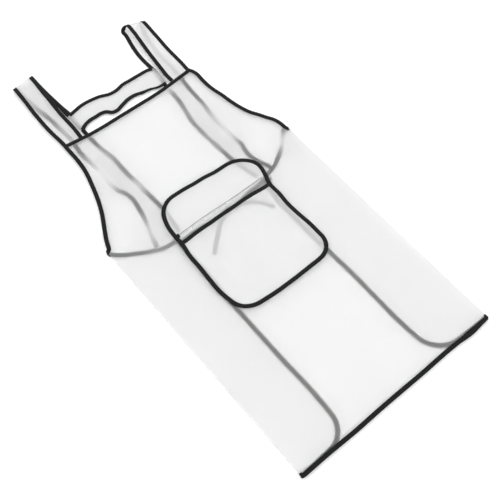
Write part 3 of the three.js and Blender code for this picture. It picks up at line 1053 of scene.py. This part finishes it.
# %% Tapes round the pocket and flap, and along the mouth
ring_line = np.column_stack([ring[:-1], trim_z(ring[:-1, 0], ring[:-1, 1])])
bind("pocket_tape", ring_line, facing_up(ring_line), 1, ["pocket_binding", "flap_binding"], 91,
     ("apron", "flap", *FLAP_BEND), closed=True)

x = np.linspace(-POCKET_X + TAPE_HALF, POCKET_X - TAPE_HALF, 54)
y = MOUTH_Y + 0.8 * ripple(x, 0, 120, 92)
mouth_line = settle(np.column_stack([x, y, trim_z(x, y) + pouch(x, MOUTH_Y + 0 * x)]))
bind("pocket_mouth_tape", mouth_line, facing_up(mouth_line), -1, ["pocket_mouth_binding"], 93)

# the flap tape's cut end sticks out at the left end of the seam
end_x, end_y = -POCKET_X, FLAP_FOLD_Y - 1
tab = [(end_x + 5, end_y - 1, 0), (end_x - 1, end_y, 0), (end_x - 7, end_y + 2, 0)]
tab = smooth_line(settle(tab), 2.0)
tab[:, 2] = trim_z(tab[:, 0], tab[:, 1]) - 0.2
bind("flap_tape_end", tab, facing_up(tab), 1, [], 95)
print("pocket tapes made")

# %% [markdown]
# ## Waist ties
# The ties are the same woven tape, folded and sewn flat. They leave the wings' top corners, meet
# in one knot behind the skirt, and end in two loose tails that lie on the table. A rope
# simulation could drop them there, but these lengths are short, so their routes are listed as
# points.

# %% Flat tape and tie routes
TIE_SECTION = np.array([(-1.0, -0.3), (-0.9, -0.5), (0.9, -0.5), (1.0, -0.3), (1.0, 0.3),
                        (0.9, 0.5), (-0.9, 0.5), (-1.0, 0.3)]) * (TAPE_HALF, 1.0)
KNOT = sum(np.array(corner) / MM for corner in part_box("waist_knot")) / 2
TAILS = {  # from the knot, in x and y, and the height
    "left": [(-11, -5, 1.4), (-27, -12, 1.1), (-45, -27, 0.9), (-62, -42, 0.9), (-78, -58, 0.9)],
    "right": [(12, -4, 1.4), (32, -5, 1.1), (54, -17, 0.9), (68, -34, 0.9), (76, -50, 0.9)]}
PRESSED = [(103.0, -20.0), (92.0, -20.6), (80.0, -22.0)]  # the right tie touches the front film
UNDER_FILM = 1.15


def tie_route(name, side):
    """A tie's middle line, from the wing's top corner to the knot."""
    low, high = span(f"{name}_waist_tie", 1)
    level = middle(f"{name}_waist_tie", 2)
    if side > 0:
        lift = 1.8
        arch = [(x, y, float(front_z(np.array(x), np.array(y))) - UNDER_FILM)
                for x, y in PRESSED]
    else:
        lift = 0.8
        arch = [(-92, high - TAPE_HALF + lift * 3, level + lift)]
    return [(side * (WING_X + 9), high - TAPE_HALF, level), *arch,
            (side * 62, (low + high) / 2 + lift * 2.5, level + lift * 0.8),
            (side * 32, (low + high) / 2, level + 0.2),
            (KNOT[0] + side * 8, KNOT[1], level)]


def flat_tape(name, line, section, replaced, closed=False):
    """Flat tape along a line, lying face up."""
    out, up = turn_frames(line, facing_up(line), 1)
    made = sweep(name, line, out, up, section, tape_finish, closed)
    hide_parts(replaced)
    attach(made, "apron")
    return made


print("knot at", KNOT.round(1), "mm")

# %% Ties and tails
for name, side in SIDES.items():
    tail = smooth_line([(KNOT[0] + dx, KNOT[1] + dy, z) for dx, dy, z in TAILS[name]], 3.0)
    piece = flat_tape(f"{name}_tail", tail, TIE_SECTION, f"{name}_tie_tail")
    tie = smooth_line(tie_route(name, side), 4.0)
    flat_tape(f"{name}_tie", tie, TIE_SECTION, f"{name}_waist_tie")

# %% Knot
turn = np.linspace(0, 2 * math.pi, 73)[:-1]
knot_line = np.column_stack([
    KNOT[0] + 3.0 * (np.sin(turn) + 2 * np.sin(2 * turn)),
    KNOT[1] + 2.0 * (np.cos(turn) - 2 * np.cos(2 * turn)),
    KNOT[2] - 1.1 * np.sin(3 * turn)])
flat_tape("knot", knot_line, TIE_SECTION * (0.55, 0.9), "waist_knot", closed=True)
print("knot is an overhand turn of tape")

# %% [markdown]
# ## Stitches
# Lockstitch shows as a row of short raised dashes near the tape's inner edge. A bump pattern
# would look sewn only from afar. Each dash is a slim six-point bead instead, and a row is one
# mesh, so hundreds of dashes cost little.

# %% Stitch rows
BEAD_FACES = np.array([(0, 1, 2), (0, 2, 3), (0, 3, 4), (0, 4, 1),
                       (5, 2, 1), (5, 3, 2), (5, 4, 3), (5, 1, 4)])


def stitch_row(name, line, out, up, inset, height, joint=None, pitch=3.2, length=2.2, thick=0.22):
    """Dashes of thread beside a line: inset along out, and height off each face along up."""
    t = run_lengths(line)
    places = np.arange(pitch, t[-1] - pitch, pitch)

    def at(values):
        return np.column_stack([np.interp(places, t, values[:, i]) for i in range(3)])

    along = at(unit(np.gradient(line, axis=0)))
    sideways, above, on_line = at(out), at(up), at(line)
    beads = []
    for face in (1, -1) if height else (1,):
        base = on_line + sideways * inset + above * face * height
        beads.append(np.stack([
            base - along * length / 2, base + sideways * thick, base + above * face * thick,
            base - sideways * thick, base - above * face * thick, base + along * length / 2], 1))
    beads = np.concatenate(beads)
    beads[..., 2] = np.maximum(beads[..., 2], LOWEST_THREAD)
    faces = (np.arange(len(beads))[:, None, None] * 6 + BEAD_FACES).reshape(-1, 3)
    row = make_object(name, beads.reshape(-1, 3), faces, thread_finish)
    edit_mesh(row, face_outwards)
    fasten(row, joint)
    return len(beads)


total = sum(stitch_row(f"{name}_stitches", line, out, up, -TAPE_HALF + 1.3, 0.86, joint)
            for name, line, out, up, joint in tape_runs)
print(total, "stitches on the tapes")


# %% Seams at the flap's fold and the band's ends
def seam_row(name, line, sideways, **dashes):
    """One row of dashes right on a line that faces up."""
    stitch_row(name, line, np.tile(sideways, (len(line), 1)), facing_up(line), 0, 0, **dashes)


x = np.linspace(-POCKET_X + 3, POCKET_X - 3, 60)
y = FLAP_FOLD_Y - 0.8 + 0 * x
flap_seam = settle(np.column_stack([x, y, flap_z(x, y) + 0.6]))
seam_row("flap_seam", flap_seam, (0, 1.0, 0), pitch=2.6, length=2.6, thick=0.85)
for name, side in SIDES.items():
    for row, inset in (("outer", 2.0), ("inner", 5.0)):
        y = np.linspace(BAND_LOW_Y, BAND_HIGH_Y, 12)
        x = side * (BAND_END_X - inset) + 0 * y
        band_seam = np.column_stack([x, y, BAND_Z + 0.2 + 0 * y])
        seam_row(f"{name}_band_seam_{row}", band_seam, (1.0, 0, 0), pitch=2.6)
print("seams sewn")
